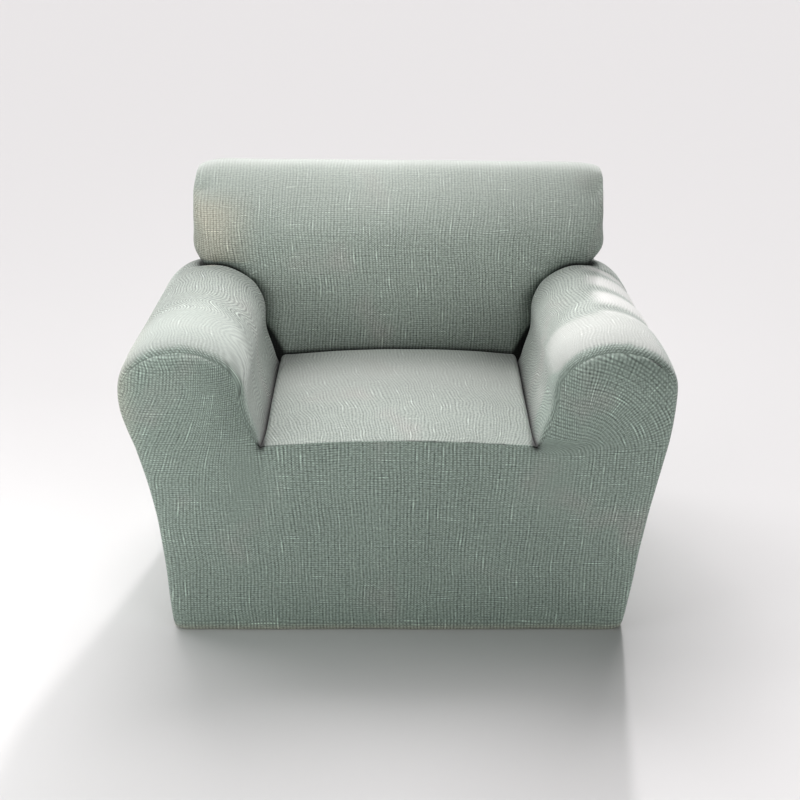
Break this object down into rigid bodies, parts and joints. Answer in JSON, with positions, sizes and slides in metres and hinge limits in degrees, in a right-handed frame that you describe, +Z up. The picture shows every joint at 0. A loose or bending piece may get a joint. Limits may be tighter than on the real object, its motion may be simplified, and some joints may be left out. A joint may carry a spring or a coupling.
{
  "type": "armchair slipcover",
  "caption": "Fitted stretch slipcover for a rolled-arm armchair: woven-look cloth over seat, arms and backrest, open below, hem turned under.",
  "frame": {"origin": "underside of the cover's top on the middle line, where the armchair's backrest carries it", "axes": "+X to the right seen from the front, +Y from the front to the back, +Z up"},
  "size_m": [1.117, 0.798, 0.8345],
  "materials": {
    "front_panel_cloth": "matt grey-green stretch cloth with a woven texture",
    "arm_panel_left_cloth": "matt grey-green stretch cloth with a woven texture",
    "seat_panel_cloth": "matt grey-green stretch cloth with a woven texture",
    "back_panel_cloth": "matt grey-green stretch cloth with a woven texture",
    "arm_panel_right_cloth": "matt grey-green stretch cloth with a woven texture",
    "outside_back_panel_cloth": "matt grey-green stretch cloth with a woven texture"
  },
  "bodies": {
    "root": {"front_panel": "front_panel_cloth", "arm_panel_left": "arm_panel_left_cloth", "seat_panel": "seat_panel_cloth", "back_panel": "back_panel_cloth", "arm_panel_right": "arm_panel_right_cloth", "outside_back_panel": "outside_back_panel_cloth"}
  },
  "joints": []
}
